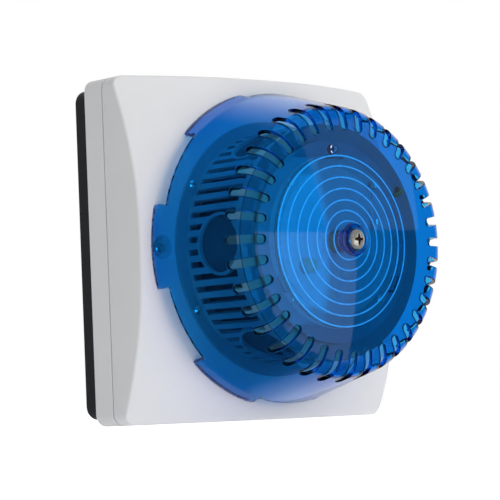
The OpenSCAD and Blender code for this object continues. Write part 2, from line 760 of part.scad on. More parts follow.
module cable_grommet() color([0.12, 0.12, 0.12]) facing() at(cable_x, 0) difference() {
    union() {
        bar(9, plate_front - 2, base_floor + 2);
        bar(12, plate_front - 2, plate_front);
        bar(12, base_floor, base_floor + 2);
    }
    bar(cable_bore_r, plate_front - 3, base_floor + 3);
}

// ---------- drawing ----------

wall_plate();
base_housing();
housing_screws();
housing_seal();
front_cover();
cover_screws();
lens_dome();
dome_screw();
screw_washer();
centre_post();
sounder_cage();
cage_screws();
port_screens();
horn();
horn_screws();
driver_yoke();
ring_magnet();
top_plate();
driver_frame();
driver_cap();
diaphragm();
diaphragm_surround();
driver_screws();
fresnel_lens();
strobe_board();
strobe_board_screws();
strobe_reflector();
flash_tube();
flash_tube_caps();
flash_leads();
trigger_coil();
status_led();
strobe_leads();
main_board();
main_board_screws();
terminal_block();
terminal_screws();
flash_capacitor();
board_capacitors();
inverter_transformer();
board_chips();
tamper_switch();
tamper_lever();
tamper_button();
wall_tamper_body();
wall_tamper_plunger();
wall_tamper_spring();
wall_tamper_contacts();
battery();
battery_terminals();
battery_strap();
strap_screws();
battery_leads();
sounder_leads();
cable_grommet();
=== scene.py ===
import json
from math import acos, asin, atan, atan2, cos, hypot, pi, radians, sin, sqrt, tan

import bmesh
import bpy
from mathutils import Matrix, Vector
from mathutils.geometry import delaunay_2d_cdt


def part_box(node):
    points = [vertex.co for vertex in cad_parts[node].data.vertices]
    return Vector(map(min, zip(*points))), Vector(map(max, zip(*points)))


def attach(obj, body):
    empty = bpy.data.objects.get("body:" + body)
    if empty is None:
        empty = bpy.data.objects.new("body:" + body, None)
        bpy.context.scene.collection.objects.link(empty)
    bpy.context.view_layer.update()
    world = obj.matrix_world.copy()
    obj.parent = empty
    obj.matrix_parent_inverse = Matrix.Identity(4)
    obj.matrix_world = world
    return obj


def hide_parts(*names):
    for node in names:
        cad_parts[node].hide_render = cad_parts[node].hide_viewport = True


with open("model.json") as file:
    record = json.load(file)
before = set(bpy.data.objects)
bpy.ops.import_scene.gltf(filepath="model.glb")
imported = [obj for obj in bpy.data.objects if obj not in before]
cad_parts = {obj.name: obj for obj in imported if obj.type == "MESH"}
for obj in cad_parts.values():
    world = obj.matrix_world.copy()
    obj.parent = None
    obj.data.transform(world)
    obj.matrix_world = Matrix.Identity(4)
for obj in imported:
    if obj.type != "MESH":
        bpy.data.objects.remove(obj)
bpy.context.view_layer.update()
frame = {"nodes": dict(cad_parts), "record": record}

# Wall-mounted alarm siren. Up is +Z and the front looks along -Y, so depth from the wall is -Y.
MM = 0.001


def size_of(node):
    """(lowest corner, highest corner) of a CAD node as (x, up, depth), in metres."""
    low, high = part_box(node)
    return (low.x, low.z, -high.y), (high.x, high.z, -low.y)


# ---------- places taken from the frame ----------

COVER_LOW, COVER_HIGH = size_of("front_cover")
DOME_HIGH = size_of("lens_dome")[1]
LENS_LOW, LENS_HIGH = size_of("fresnel_lens")
HEAD_LOW, HEAD_HIGH = size_of("dome_screw")
LED_LOW, LED_HIGH = size_of("status_led")

HALF_W = size_of("base_housing")[1][0]
CAGE_FRONT = size_of("sounder_cage")[1][2]
COVER_BACK = COVER_LOW[2]
COVER_FACE = COVER_HIGH[2]
SKIRT_R = DOME_HIGH[0]
DOME_TOP = DOME_HIGH[2]
HEAD_R = (HEAD_HIGH[0] - HEAD_LOW[0]) / 2

# ---------- sizes shared with the CAD model ----------

HOUSING_CORNER_R = 7 * MM
SHELL_T = 3 * MM
COVER_SPHERE_R = 253.3 * MM
COVER_HOLE_R = 65.5 * MM
BEND = (HALF_W - 5 * MM, HALF_W + 5 * MM)
COVER_SCREW_X = 83.5 * MM
SCREW_SEAT = COVER_FACE - 5 * MM

DOME_T = 2.5 * MM
WALL_DRAFT = radians(15)
SHOULDER_R = 12 * MM
FRONT_R = 315 * MM
FOLD = COVER_FACE + 1.6 * MM
SLOTS = 36
SLOT_HALF = 2.4 * MM
SLOT_SIDE_END = 110.3 * MM
SLOT_FRONT_END = 63.2 * MM
NOTCHES = 6
NOTCH_TOP = COVER_FACE + 8.2 * MM
WASHER_SEAT = DOME_TOP - 2.7 * MM
RECESS_R = 6.9 * MM
BOSS_R = 6.5 * MM
BOSS_END = 118 * MM
POST_BORE_R = 2.3 * MM

LENS_CURVE_R = 239 * MM
LENS_T = 2 * MM
LENS_RINGS = [r * MM for r in (11, 17.1, 23.1, 29.7, 36.2, 42.7, 48.8)]
LENS_HOLE_R = 7.2 * MM
LEG_ANGLES = [radians(a) for a in (90, 210, 330)]

HEAD_SEAT = HEAD_HIGH[2] - 3 * MM
SHANK_R = 2 * MM

# ---------- how finely the meshes are divided ----------

SIDE_STEPS = 28
CORNER_STEPS = 10
EDGE_STEPS = 6
RIM_STEPS = 4
ROD_STEPS = 48
LENS_STEPS = 192
AXIS_R = 0.0005 * MM


# ---------- mesh helpers ----------


def at(x, up, depth):
    """World point from a distance to the right, a height and a depth from the wall."""
    return Vector((x, -depth, up))


def new_object(name, bm, smooth_angle=35):
    """Makes an object from a bmesh: welded, with outward faces and sharp edges only past an angle."""
    bmesh.ops.remove_doubles(bm, verts=bm.verts, dist=0.002 * MM)
    bmesh.ops.recalc_face_normals(bm, faces=bm.faces)
    mesh = bpy.data.meshes.new(name)
    bm.to_mesh(mesh)
    bm.free()
    for face in mesh.polygons:
        face.use_smooth = True
    mesh.set_sharp_from_angle(angle=radians(smooth_angle))
    made = bpy.data.objects.new(name, mesh)
    bpy.context.scene.collection.objects.link(made)
    return made


def bridge(bm, loops, closed=False):
    """Quads between neighbouring loops of the same length. Each loop is a closed ring of points."""
    rings = [[bm.verts.new(p) for p in loop] for loop in loops]
    count = len(rings[0])
    pairs = list(zip(rings, rings[1:]))
    if closed:
        pairs.append((rings[-1], rings[0]))
    for a, b in pairs:
        for k in range(count):
            n = (k + 1) % count
            bm.faces.new((a[k], a[n], b[n], b[k]))
    return rings


def turned(bm, outline, x=0.0, up=0.0, steps=LENS_STEPS):
    """Turns a closed outline of (radius, depth) points about a line along the depth axis."""
    angles = [2 * pi * k / steps for k in range(steps)]
    loops = [[at(x + r * cos(a), up + r * sin(a), d) for a in angles] for r, d in outline]
    bridge(bm, loops, closed=True)


def fillet(corner, before, after, radius, steps=4):
    """Points of a round that replaces the corner of a (radius, depth) outline."""
    c, p, q = (Vector(v) for v in (corner, before, after))
    a, b = (p - c).normalized(), (q - c).normalized()
    half = a.angle(b) / 2
    centre = c + (a + b).normalized() * radius / sin(half)
    start = c + a * radius / tan(half) - centre
    turn = pi - 2 * half
    if a.x * b.y - a.y * b.x > 0:
        turn = -turn
    return [centre + Matrix.Rotation(turn * k / steps, 2) @ start for k in range(steps + 1)]


def square_outline(half, corner):
    """Rounded square as (point, outward normal) pairs, anticlockwise."""
    out = []
    for quarter in range(4):
        turn = Matrix.Rotation(quarter * pi / 2, 2)
        for k in range(SIDE_STEPS):
            y = -(half - corner) + 2 * (half - corner) * k / SIDE_STEPS
            out.append((turn @ Vector((half, y)), turn @ Vector((1, 0))))
        for k in range(CORNER_STEPS):
            a = k / CORNER_STEPS * pi / 2
            normal = Vector((cos(a), sin(a)))
            centre = Vector((half - corner, half - corner))
            out.append((turn @ (centre + corner * normal), turn @ normal))
    return out


def cut(target, tools, operation="DIFFERENCE"):
    """Booleans each tool into the target, applies it and deletes the tool."""
    for tool in tools:
        step = target.modifiers.new("cut", "BOOLEAN")
        step.operation = operation
        step.solver = "EXACT"
        step.object = tool
        view = bpy.context.evaluated_depsgraph_get()
        mesh = bpy.data.meshes.new_from_object(target.evaluated_get(view))
        target.modifiers.clear()
        target.data = mesh
        bpy.data.objects.remove(tool)
    target.data.set_sharp_from_angle(angle=radians(35))
    return target


def rod(name, x, radius, back, front, flare=0.0):
    """Turned cutter or post at mid-height between two depths, with an optional flare at its front end."""
    bm = bmesh.new()
    outline = [
        (AXIS_R, back), (radius, back), (radius, front - flare), (radius + flare, front), (AXIS_R, front)
    ]
    turned(bm, outline, x, steps=ROD_STEPS)
    return new_object(name, bm)


# ---------- front cover ----------


def sphere_depth(r):
    """Depth of the cover's big sphere at a distance r from the middle."""
    flat = sqrt(COVER_SPHERE_R**2 - HALF_W**2)
    return COVER_FACE - flat + sqrt(COVER_SPHERE_R**2 - r * r)


def cover_depth(r):
    """Depth of the cover's face: flat, a soft bend, then the sphere."""
    if r <= BEND[0]:
        return COVER_FACE
    if r >= BEND[1]:
        return sphere_depth(r)
    share = (r - BEND[0]) / (BEND[1] - BEND[0])
    return COVER_FACE - (COVER_FACE - sphere_depth(BEND[1])) * share**2


def cover_loops(half, corner, sink, edge_r, rows):
    """Loops over the cover's face from the hole out to the side wall, with a rounded front edge."""
    outline = square_outline(half, corner)
    near = 0.5 * MM
    columns = []
    for point, normal in outline:
        r = point.length
        slope = (cover_depth(r) - cover_depth(r - near)) / near
        fall = atan(-slope * (point / r).dot(normal))
        edge_depth = cover_depth(r) - sink
        centre = edge_depth + edge_r * tan(fall) - edge_r / cos(fall)
        inset = edge_r * (1 - sin(fall))
        inner = point - normal * inset
        rim = inner.normalized() * COVER_HOLE_R
        column = []
        for k in range(rows):
            p = rim.lerp(inner, k / rows)
            column.append(at(p.x, p.y, cover_depth(p.length) - sink))
        for k in range(EDGE_STEPS + 1):
            a = pi / 2 + fall + (pi / 2 - fall) * k / EDGE_STEPS
            p = point - normal * (edge_r + edge_r * cos(a))
            column.append(at(p.x, p.y, centre + edge_r * sin(a)))
        columns.append(column)
    return [[column[k] for column in columns] for k in range(rows + EDGE_STEPS + 1)]


def make_front_cover():
    """Square cover: a soft square falling away at its corners, with the dome's screw recesses."""
    outer_edge_r, inner_edge_r, rim_r, rows = 2 * MM, 1 * MM, 0.35 * MM, 32
    post_r, seat_r, hole_r = 9.5 * MM, 7 * MM, 2.2 * MM
    bm = bmesh.new()
    outer = cover_loops(HALF_W, HOUSING_CORNER_R, 0.0, outer_edge_r, rows)
    inner = cover_loops(HALF_W - SHELL_T, HOUSING_CORNER_R - SHELL_T, SHELL_T, inner_edge_r, rows)
    rim = []
    for k in range(RIM_STEPS + 1):
        a = k / RIM_STEPS * pi / 2
        inset = rim_r * (1 - cos(a))
        rim.append([
            at(p.x - n.x * inset, p.y - n.y * inset, COVER_BACK + rim_r * (1 - sin(a)))
            for p, n in square_outline(HALF_W, HOUSING_CORNER_R)
        ])
    inside = [
        at(p.x, p.y, COVER_BACK)
        for p, n in square_outline(HALF_W - SHELL_T, HOUSING_CORNER_R - SHELL_T)
    ]
    bridge(bm, outer + rim + [inside] + inner[::-1], closed=True)
    cover = new_object("front_cover_shell", bm)
    posts, holes = [], []
    for x in (-COVER_SCREW_X, COVER_SCREW_X):
        posts.append(rod("post", x, post_r, SCREW_SEAT - 2.5 * MM, COVER_FACE - 1 * MM))
        holes.append(rod("seat", x, seat_r, SCREW_SEAT, COVER_FACE + 0.3 * MM, flare=0.6 * MM))
        holes.append(rod("hole", x, hole_r, SCREW_SEAT - 4 * MM, SCREW_SEAT + 1 * MM))
    cut(cover, posts, "UNION")
    return cut(cover, holes)


# ---------- dome ----------


def front_depth(r, sink=0.0):
    """Depth of the dome's curved front at a distance r from the middle."""
    return DOME_TOP - FRONT_R + sqrt((FRONT_R - sink) ** 2 - r * r)


def dome_shoulder():
    """Centre of the shoulder's round and the angle at which the front takes over."""
    out = Vector((cos(WALL_DRAFT), sin(WALL_DRAFT)))
    along = Vector((-sin(WALL_DRAFT), cos(WALL_DRAFT)))
    front_centre = Vector((0, DOME_TOP - FRONT_R))
    foot = out * (out.dot(Vector((SKIRT_R, FOLD))) - SHOULDER_R)
    reach = (FRONT_R - SHOULDER_R) ** 2 - (foot - front_centre).length_squared
    lift = (foot - front_centre).dot(along)
    centre = foot + along * (sqrt(lift * lift + reach) - lift)
    return centre, acos(centre.x / (FRONT_R - SHOULDER_R))


SHOULDER, SHOULDER_END = dome_shoulder()


class DomeOutline:
    """The dome's outside from the fold to the middle, measured along the surface from the fold."""

    def __init__(self):
        tangent = SHOULDER + SHOULDER_R * Vector((cos(WALL_DRAFT), sin(WALL_DRAFT)))
        self.fold = Vector((SKIRT_R, FOLD))
        self.wall = (tangent - self.fold).length
        self.bend = self.wall + SHOULDER_R * (SHOULDER_END - WALL_DRAFT)
        self.front_start = pi / 2 - SHOULDER_END

    def point(self, v):
        """((radius, depth), outward normal) at a distance v from the fold."""
        if v <= self.wall:
            normal = Vector((cos(WALL_DRAFT), sin(WALL_DRAFT)))
            return self.fold + Vector((-sin(WALL_DRAFT), cos(WALL_DRAFT))) * v, normal
        if v <= self.bend:
            a = WALL_DRAFT + (v - self.wall) / SHOULDER_R
            normal = Vector((cos(a), sin(a)))
            return SHOULDER + SHOULDER_R * normal, normal
        a = self.front_start - (v - self.bend) / FRONT_R
        normal = Vector((sin(a), cos(a)))
        return Vector((0, DOME_TOP - FRONT_R)) + FRONT_R * normal, normal

    def at_radius(self, r):
        """Distance from the fold at which the front reaches a radius."""
        return self.bend + FRONT_R * (self.front_start - asin(r / FRONT_R))


def wall_v(depth):
    """Distance from the fold at which the sloping wall reaches a depth."""
    return (depth - FOLD) / cos(WALL_DRAFT)


DOME = DomeOutline()
SECTOR = 2 * pi / SLOTS
SECTOR_STEPS = 12
COLUMNS = SLOTS * SECTOR_STEPS
COLUMN_ANGLES = [(k / SECTOR_STEPS - 0.5) * SECTOR for k in range(COLUMNS)]
SLOT_V = (wall_v(SLOT_SIDE_END), DOME.at_radius(SLOT_FRONT_END))
BAND_MARGIN = 1.6 * MM
BAND_V = (SLOT_V[0] - BAND_MARGIN, SLOT_V[1] + BAND_MARGIN)
BAND_STEP = 0.9 * MM
EDGE_ROUND = 0.4 * MM


def dome_place(u, v, sink, turn):
    """A point of the dome: u across a slot, v along the outline, sink under the outside."""
    p, n = DOME.point(v)
    r, depth = p - n * sink
    a = turn + asin(u / r)
    return at(r * cos(a), r * sin(a), depth)


def slot_loop(grow):
    """Round-ended slot as (u, v) points, widened by grow."""
    half, arc_steps, side_steps = SLOT_HALF, 14, 34
    low, high = SLOT_V[0] + half, SLOT_V[1] - half
    reach = half + grow
    loop = []
    for k in range(arc_steps):
        a = pi + pi * k / arc_steps
        loop.append((reach * cos(a), low + reach * sin(a)))
    for k in range(side_steps):
        loop.append((reach, low + (high - low) * k / side_steps))
    for k in range(arc_steps):
        a = pi * k / arc_steps
        loop.append((reach * cos(a), high + reach * sin(a)))
    for k in range(side_steps):
        loop.append((-reach, high + (low - high) * k / side_steps))
    return loop


def band_rows():
    """Evenly spaced distances along the outline, over the slotted band."""
    count = round((BAND_V[1] - BAND_V[0]) / BAND_STEP)
    return [BAND_V[0] + (BAND_V[1] - BAND_V[0]) * k / count for k in range(count + 1)]


def slot_patch(sink, grow):
    """Flat triangles round one slot: (u, v) points and triangles of one sector of the band."""
    rows = band_rows()
    clear = 0.3 * MM

    def column_u(v, k):
        p, n = DOME.point(v)
        return (p - n * sink).x * sin(SECTOR * (k / SECTOR_STEPS - 0.5))

    points = [(column_u(rows[0], k), rows[0]) for k in range(SECTOR_STEPS + 1)]
    points += [(column_u(v, SECTOR_STEPS), v) for v in rows[1:-1]]
    points += [(column_u(rows[-1], k), rows[-1]) for k in range(SECTOR_STEPS, -1, -1)]
    points += [(column_u(v, 0), v) for v in rows[-2:0:-1]]
    edges = [(k, (k + 1) % len(points)) for k in range(len(points))]
    slot = slot_loop(grow)
    first = len(points)
    points += slot
    edges += [(first + k, first + (k + 1) % len(slot)) for k in range(len(slot))]
    low, high = SLOT_V[0] + SLOT_HALF, SLOT_V[1] - SLOT_HALF

    def gap(u, v):
        return hypot(u, max(low - v, v - high, 0)) - SLOT_HALF - grow

    grid = [(column_u(v, k), v) for v in rows[1:-1] for k in range(1, SECTOR_STEPS)]
    points += [(u, v) for u, v in grid if gap(u, v) > clear]
    flat = [Vector((u / MM, v / MM)) for u, v in points]
    inside_border, smallest = 1, 1e-5
    made, _, faces, *_ = delaunay_2d_cdt(flat, edges, [], inside_border, smallest)
    made = [p * MM for p in made]

    def middle(face):
        return sum((made[k] for k in face), Vector((0, 0))) / len(face)

    return made, [face for face in faces if gap(*middle(face)) > 0]


def add_slot_band(bm):
    """The slotted shoulder: outer and inner skins, and each slot's walls with rounded edges."""
    skins = [(sink, *slot_patch(sink, EDGE_ROUND)) for sink in (0.0, DOME_T)]
    profile = []
    for k in range(RIM_STEPS + 1):
        a = k / RIM_STEPS * pi / 2
        profile.append((EDGE_ROUND * (1 - sin(a)), EDGE_ROUND * (1 - cos(a))))
    profile += [(grow, DOME_T - sink) for grow, sink in profile[::-1]]
    loops = [(sink, slot_loop(grow)) for grow, sink in profile]
    for index in range(SLOTS):
        turn = SECTOR * index
        for sink, points, faces in skins:
            verts = [bm.verts.new(dome_place(u, v, sink, turn)) for u, v in points]
            for face in faces:
                bm.faces.new([verts[k] for k in face])
        bridge(bm, [[dome_place(u, v, sink, turn) for u, v in loop] for sink, loop in loops])


def add_dome_wall(bm):
    """Skirt and sloping wall up to the slots, with the notches left open. Returns edges to round."""
    notch_rows, wall_rows = 6, 26
    rise = wall_v(NOTCH_TOP)
    vs = [rise * k / notch_rows for k in range(1, notch_rows + 1)]
    vs += [rise + (BAND_V[0] - rise) * k / wall_rows for k in range(1, wall_rows + 1)]
    skins = []
    for sink in (0.0, DOME_T):
        profile = [(SKIRT_R - sink, COVER_FACE), (SKIRT_R - sink, FOLD - sink * tan(WALL_DRAFT / 2))]
        for v in vs:
            p, n = DOME.point(v)
            profile.append(p - n * sink)
        skins.append([
            [bm.verts.new(at(r * cos(a), r * sin(a), depth)) for a in COLUMN_ANGLES] for r, depth in profile
        ])
    outer, inner = skins
    per_notch = COLUMNS // NOTCHES
    notch_start = radians(30 - 90 / NOTCHES)
    notch_first = round((notch_start / SECTOR + 0.5) * SECTOR_STEPS)
    open_rows = notch_rows + 1

    def is_open(row, column):
        return row < open_rows and (column - notch_first) % per_notch < per_notch // 2

    round_edges = []

    def quad(a, b, c, d):
        bm.faces.new((a, b, c, d))

    for row in range(len(outer) - 1):
        for k in range(COLUMNS):
            n = (k + 1) % COLUMNS
            if is_open(row, k):
                continue
            for skin in skins:
                quad(skin[row][k], skin[row][n], skin[row + 1][n], skin[row + 1][k])
            if row == 0:
                quad(outer[0][k], outer[0][n], inner[0][n], inner[0][k])
                round_edges += [(outer[0][k], outer[0][n]), (inner[0][k], inner[0][n])]
            for side, beside in ((k, (k - 1) % COLUMNS), (n, n)):
                if is_open(row, beside):
                    quad(outer[row][side], outer[row + 1][side], inner[row + 1][side], inner[row][side])
                    round_edges += [
                        (outer[row][side], outer[row + 1][side]),
                        (inner[row][side], inner[row + 1][side]),
                    ]
            if row == open_rows and is_open(row - 1, k):
                quad(outer[row][k], outer[row][n], inner[row][n], inner[row][k])
                round_edges += [(outer[row][k], outer[row][n]), (inner[row][k], inner[row][n])]
    return round_edges


def add_dome_front(bm):
    """Curved front, the screw's recess and the boss behind it."""
    rows = 30
    lip, seat_round, boss_round = 0.5 * MM, 0.3 * MM, 0.4 * MM
    start, end = BAND_V[1], DOME.at_radius(RECESS_R + lip)
    outside = [DOME.point(start + (end - start) * k / rows)[0] for k in range(rows)]
    mouth = Vector((RECESS_R, front_depth(RECESS_R)))
    outside += fillet(mouth, outside[-1], (RECESS_R, WASHER_SEAT), lip)
    seat = fillet((RECESS_R, WASHER_SEAT), (RECESS_R, DOME_TOP), (0, WASHER_SEAT), seat_round)
    collar_r = RECESS_R + 2 * MM
    collar_back = WASHER_SEAT - 2.5 * MM
    inner_r = collar_r + 1 * MM
    middle = [
        Vector((POST_BORE_R, WASHER_SEAT)),
        Vector((POST_BORE_R, BOSS_END)),
        *fillet((BOSS_R, BOSS_END), (0, BOSS_END), (BOSS_R, collar_back), boss_round),
        Vector((BOSS_R, collar_back)),
        *fillet((collar_r, collar_back), (0, collar_back), (collar_r, DOME_TOP), boss_round),
        Vector((collar_r, front_depth(collar_r, DOME_T) - boss_round)),
        Vector((inner_r, front_depth(inner_r, DOME_T))),
    ]
    first = DOME.at_radius(inner_r)
    inside = []
    for k in range(1, rows + 1):
        p, n = DOME.point(first + (start - first) * k / rows)
        inside.append(p - n * DOME_T)
    loops = [
        [at(r * cos(a), r * sin(a), depth) for a in COLUMN_ANGLES]
        for r, depth in outside + seat + middle + inside
    ]
    bridge(bm, loops)


def make_dome():
    """Clear blue dome with its skirt, notches, slots and centre boss."""
    bm = bmesh.new()
    pairs = add_dome_wall(bm)
    bm.verts.index_update()
    bm.edges.ensure_lookup_table()
    edges = dict.fromkeys(bm.edges.get(pair) for pair in pairs)
    bmesh.ops.bevel(
        bm, geom=[e for e in edges if e], offset=0.35 * MM, segments=2, profile=0.5, affect="EDGES"
    )
    add_slot_band(bm)
    add_dome_front(bm)
    return new_object("blue_dome", bm, smooth_angle=50)


# ---------- ringed lens ----------


def lens_top(r):
    """Depth of the lens's domed front at a distance r from the middle."""
    apex = LENS_HIGH[2] - 0.6 * MM
    return apex - LENS_CURVE_R + sqrt(LENS_CURVE_R**2 - r * r)


def make_ridges():
    """Fine bead of cloudy plastic on each of the lens's rings; its finish adds a faint painted glow."""
    bm = bmesh.new()
    bead_r, bead_steps, lift = 0.42 * MM, 8, 0.02 * MM
    for ring in LENS_RINGS:
        bead = []
        for k in range(bead_steps + 1):
            a = pi * k / bead_steps
            bead.append((ring + bead_r * cos(a), lens_top(ring) + lift + max(bead_r * sin(a), 0)))
        turned(bm, bead)
    return new_object("lens_ridges", bm, smooth_angle=80)


def add_lens_leg(bm, angle):
    """Leg under the lens's rim: five points across its outside and five across its inside."""
    lens_r, foot = LENS_HIGH[0], LENS_LOW[2]
    outside_r, inside_r = lens_r - 0.2 * MM, lens_r - 2.4 * MM
    half_turn = 5 * MM / lens_r
    loops = []
    for depth in (foot, foot + 0.3 * MM, lens_top(lens_r) - LENS_T - 0.02 * MM):
        loop = []
        for r, shares in ((outside_r, (-1, -0.5, 0, 0.5, 1)), (inside_r, (1, 0.5, 0, -0.5, -1))):
            for share in shares:
                a = angle + half_turn * share
                loop.append(at(r * cos(a), r * sin(a), depth))
        loops.append(loop)
    rings = bridge(bm, loops)
    bm.faces.new(rings[0])
    bm.faces.new(rings[-1])


def make_lens():
    """Clear domed lens on three legs."""
    lens_r = LENS_HIGH[0]
    inner_step, parts = 1.5 * MM, 5
    outside = []
    r = LENS_HOLE_R + 0.3 * MM
    while r < LENS_RINGS[0] - 1 * MM:
        outside.append((r, lens_top(r)))
        r += inner_step
    for ring, following in zip(LENS_RINGS, LENS_RINGS[1:] + [lens_r]):
        for k in range(parts):
            r = ring + (following - ring) * k / parts
            outside.append((r, lens_top(r)))
    outside.append((lens_r, lens_top(lens_r)))
    under = [lens_r, *(r * MM for r in range(48, 7, -4)), LENS_HOLE_R]
    bm = bmesh.new()
    turned(bm, outside + [(r, lens_top(r) - LENS_T) for r in under])
    for angle in LEG_ANGLES:
        add_lens_leg(bm, angle)
    return new_object("clear_lens", bm)


# ---------- centre screw and status LED ----------


def cross_points():
    """(angle, radius) round a cross with tapered wings, anticlockwise."""
    tip, half_tip, notch = 0.58 * HEAD_R, 0.1 * HEAD_R, 0.17 * HEAD_R
    corners = [Vector((tip, -half_tip)), Vector((tip, half_tip)), Vector((notch, notch))]
    parts = 4
    outline = []
    for quarter in range(4):
        turn = Matrix.Rotation(pi / 2 * quarter, 2)
        following = Matrix.Rotation(pi / 2 * (quarter + 1), 2) @ corners[0]
        points = [turn @ c for c in corners] + [following]
        for a, b in zip(points, points[1:]):
            outline += [a.lerp(b, k / parts) for k in range(parts)]
    return [(atan2(p.y, p.x), p.length) for p in outline]


def screw_loop(radius_of, depth_of):
    """A ring of points round the screw's axis at the cross's angles."""
    loop = []
    for angle, cross in cross_points():
        r = radius_of(cross)
        loop.append(at(r * cos(angle), r * sin(angle), depth_of(r)))
    return loop


def head_depth(r):
    """Depth of the screw's domed head at a distance r from its axis."""
    crown, fall = HEAD_HIGH[2] - 0.02 * MM, 1.6 * MM
    return crown - fall * (r / HEAD_R) ** 2.4


def make_screw_head():
    """Polished domed head round an open cross, on a plain shank."""
    round_r = 0.66 * HEAD_R
    loops = [screw_loop(lambda cross: cross, head_depth)]
    for share in (0.12, 0.4, 1.0):
        loops.append(screw_loop(lambda cross: cross + (round_r - cross) * share, head_depth))
    for share in (0.76, 0.85, 0.92, 0.97, 0.992):
        loops.append(screw_loop(lambda cross: share * HEAD_R, head_depth))
    ease, end = 0.2 * MM, 0.5 * MM
    for r, depth in (
        (HEAD_R, head_depth(HEAD_R) - ease), (HEAD_R, HEAD_SEAT + ease), (HEAD_R - ease, HEAD_SEAT),
        (SHANK_R, HEAD_SEAT), (SHANK_R, HEAD_LOW[2] + end), (SHANK_R - end, HEAD_LOW[2]),
    ):
        loops.append(screw_loop(lambda cross: r, lambda radius: depth))
    bm = bmesh.new()
    rings = bridge(bm, loops)
    bm.faces.new(rings[-1])
    return new_object("screw_head", bm)


def make_screw_cross():
    """Walls and floor of the cross."""
    step_depth, floor = 0.15 * MM, HEAD_HIGH[2] - 1.9 * MM
    loops = [
        screw_loop(lambda cross: cross, head_depth),
        screw_loop(lambda cross: 0.93 * cross, lambda r: head_depth(r) - step_depth),
        screw_loop(lambda cross: 0.6 * cross, lambda r: floor),
    ]
    bm = bmesh.new()
    rings = bridge(bm, loops)
    bm.faces.new(rings[-1])
    return new_object("screw_cross", bm)


def make_led():
    """Two small lit chips inside the status LED's dome."""
    bm = bmesh.new()
    x, up = (LED_LOW[0] + LED_HIGH[0]) / 2, (LED_LOW[1] + LED_HIGH[1]) / 2
    base, chip_r, rise, axis_r = LED_LOW[2] + 1.4 * MM, 0.55 * MM, 0.4 * MM, 0.001 * MM
    curve = [pi / 2 * k / 4 for k in range(4)]
    chip = [(axis_r, base), *((chip_r * cos(a), base + rise * sin(a)) for a in curve), (axis_r, base + rise)]
    for shift in (0.9 * MM, -0.9 * MM):
        turned(bm, chip, x, up + shift, steps=24)
    return new_object("led_chips", bm)


# ---------- copies of CAD nodes with rounded edges ----------


def softened(node, width):
    """A copy of a CAD node, welded and with its hard edges rounded."""
    source = frame["nodes"][node]
    hard_angle = 40
    bm = bmesh.new()
    bm.from_mesh(source.data)
    bm.transform(source.matrix_world)
    bmesh.ops.remove_doubles(bm, verts=bm.verts, dist=0.001 * MM)
    bmesh.ops.dissolve_limit(bm, angle_limit=radians(0.5), verts=bm.verts, edges=bm.edges)
    made = new_object(node + "_soft", bm, smooth_angle=hard_angle)
    bevel = made.modifiers.new("edges", "BEVEL")
    bevel.width = width
    bevel.segments = 2
    bevel.limit_method = "ANGLE"
    bevel.angle_limit = radians(hard_angle)
    bevel.use_clamp_overlap = True
    bevel.harden_normals = True
    return made


# ---------- materials ----------


def start_material(name):
    """An empty node material: the material, its tree and its object coordinates."""
    material = bpy.data.materials.new(name)
    material.use_nodes = True
    tree = material.node_tree
    tree.nodes.clear()
    return material, tree, add(tree, "ShaderNodeTexCoord").outputs["Object"]


def finished(material, shader_socket, volume_socket=None):
    """Joins a shader to the material's surface, and one to its volume if it has any."""
    tree = material.node_tree
    out = add(tree, "ShaderNodeOutputMaterial")
    tree.links.new(shader_socket, out.inputs["Surface"])
    if volume_socket:
        tree.links.new(volume_socket, out.inputs["Volume"])
    return material


def add(tree, kind, inputs=None, **settings):
    """Adds a shader node. An input is either a value or another node's output."""
    made = tree.nodes.new(kind)
    for key, value in settings.items():
        setattr(made, key, value)
    for key, value in (inputs or {}).items():
        socket = made.inputs[key]
        if isinstance(value, bpy.types.NodeSocket):
            tree.links.new(value, socket)
        else:
            socket.default_value = value
    return made


def between(tree, share, low, high, from_low=0.3, from_high=0.7):
    """Maps a 0 to 1 pattern onto a range of values."""
    made = add(tree, "ShaderNodeMapRange", {
        "Value": share, "From Min": from_low, "From Max": from_high, "To Min": low, "To Max": high
    })
    return made.outputs["Result"]


def shades(tree, share, dark, light):
    """Mixes two colours by a pattern."""
    made = add(tree, "ShaderNodeMix", data_type="RGBA")
    tree.links.new(share, made.inputs["Factor"])
    made.inputs["A"].default_value = (*dark, 1)
    made.inputs["B"].default_value = (*light, 1)
    return made.outputs["Result"]


def scaled(colour, factor):
    """A lighter or darker colour, kept at or below 1."""
    return tuple(min(c * factor, 1.0) for c in colour)


def beyond(tree, where, radius, depth):
    """1 where a point is further out than a radius and further forward than a depth, otherwise 0."""
    flat = add(tree, "ShaderNodeVectorMath", operation="MULTIPLY")
    tree.links.new(where, flat.inputs[0])
    flat.inputs[1].default_value = (1, 0, 1)
    span = add(tree, "ShaderNodeVectorMath", operation="LENGTH")
    tree.links.new(flat.outputs["Vector"], span.inputs[0])
    axes = add(tree, "ShaderNodeSeparateXYZ", {"Vector": where})
    soft = 0.2 * MM
    outside = between(tree, span.outputs["Value"], 0, 1, radius - soft, radius + soft)
    ahead = between(tree, axes.outputs["Y"], 0, 1, -depth + soft, -depth - soft)
    both = add(tree, "ShaderNodeMath", operation="MULTIPLY")
    tree.links.new(outside, both.inputs[0])
    tree.links.new(ahead, both.inputs[1])
    return both.outputs["Value"]


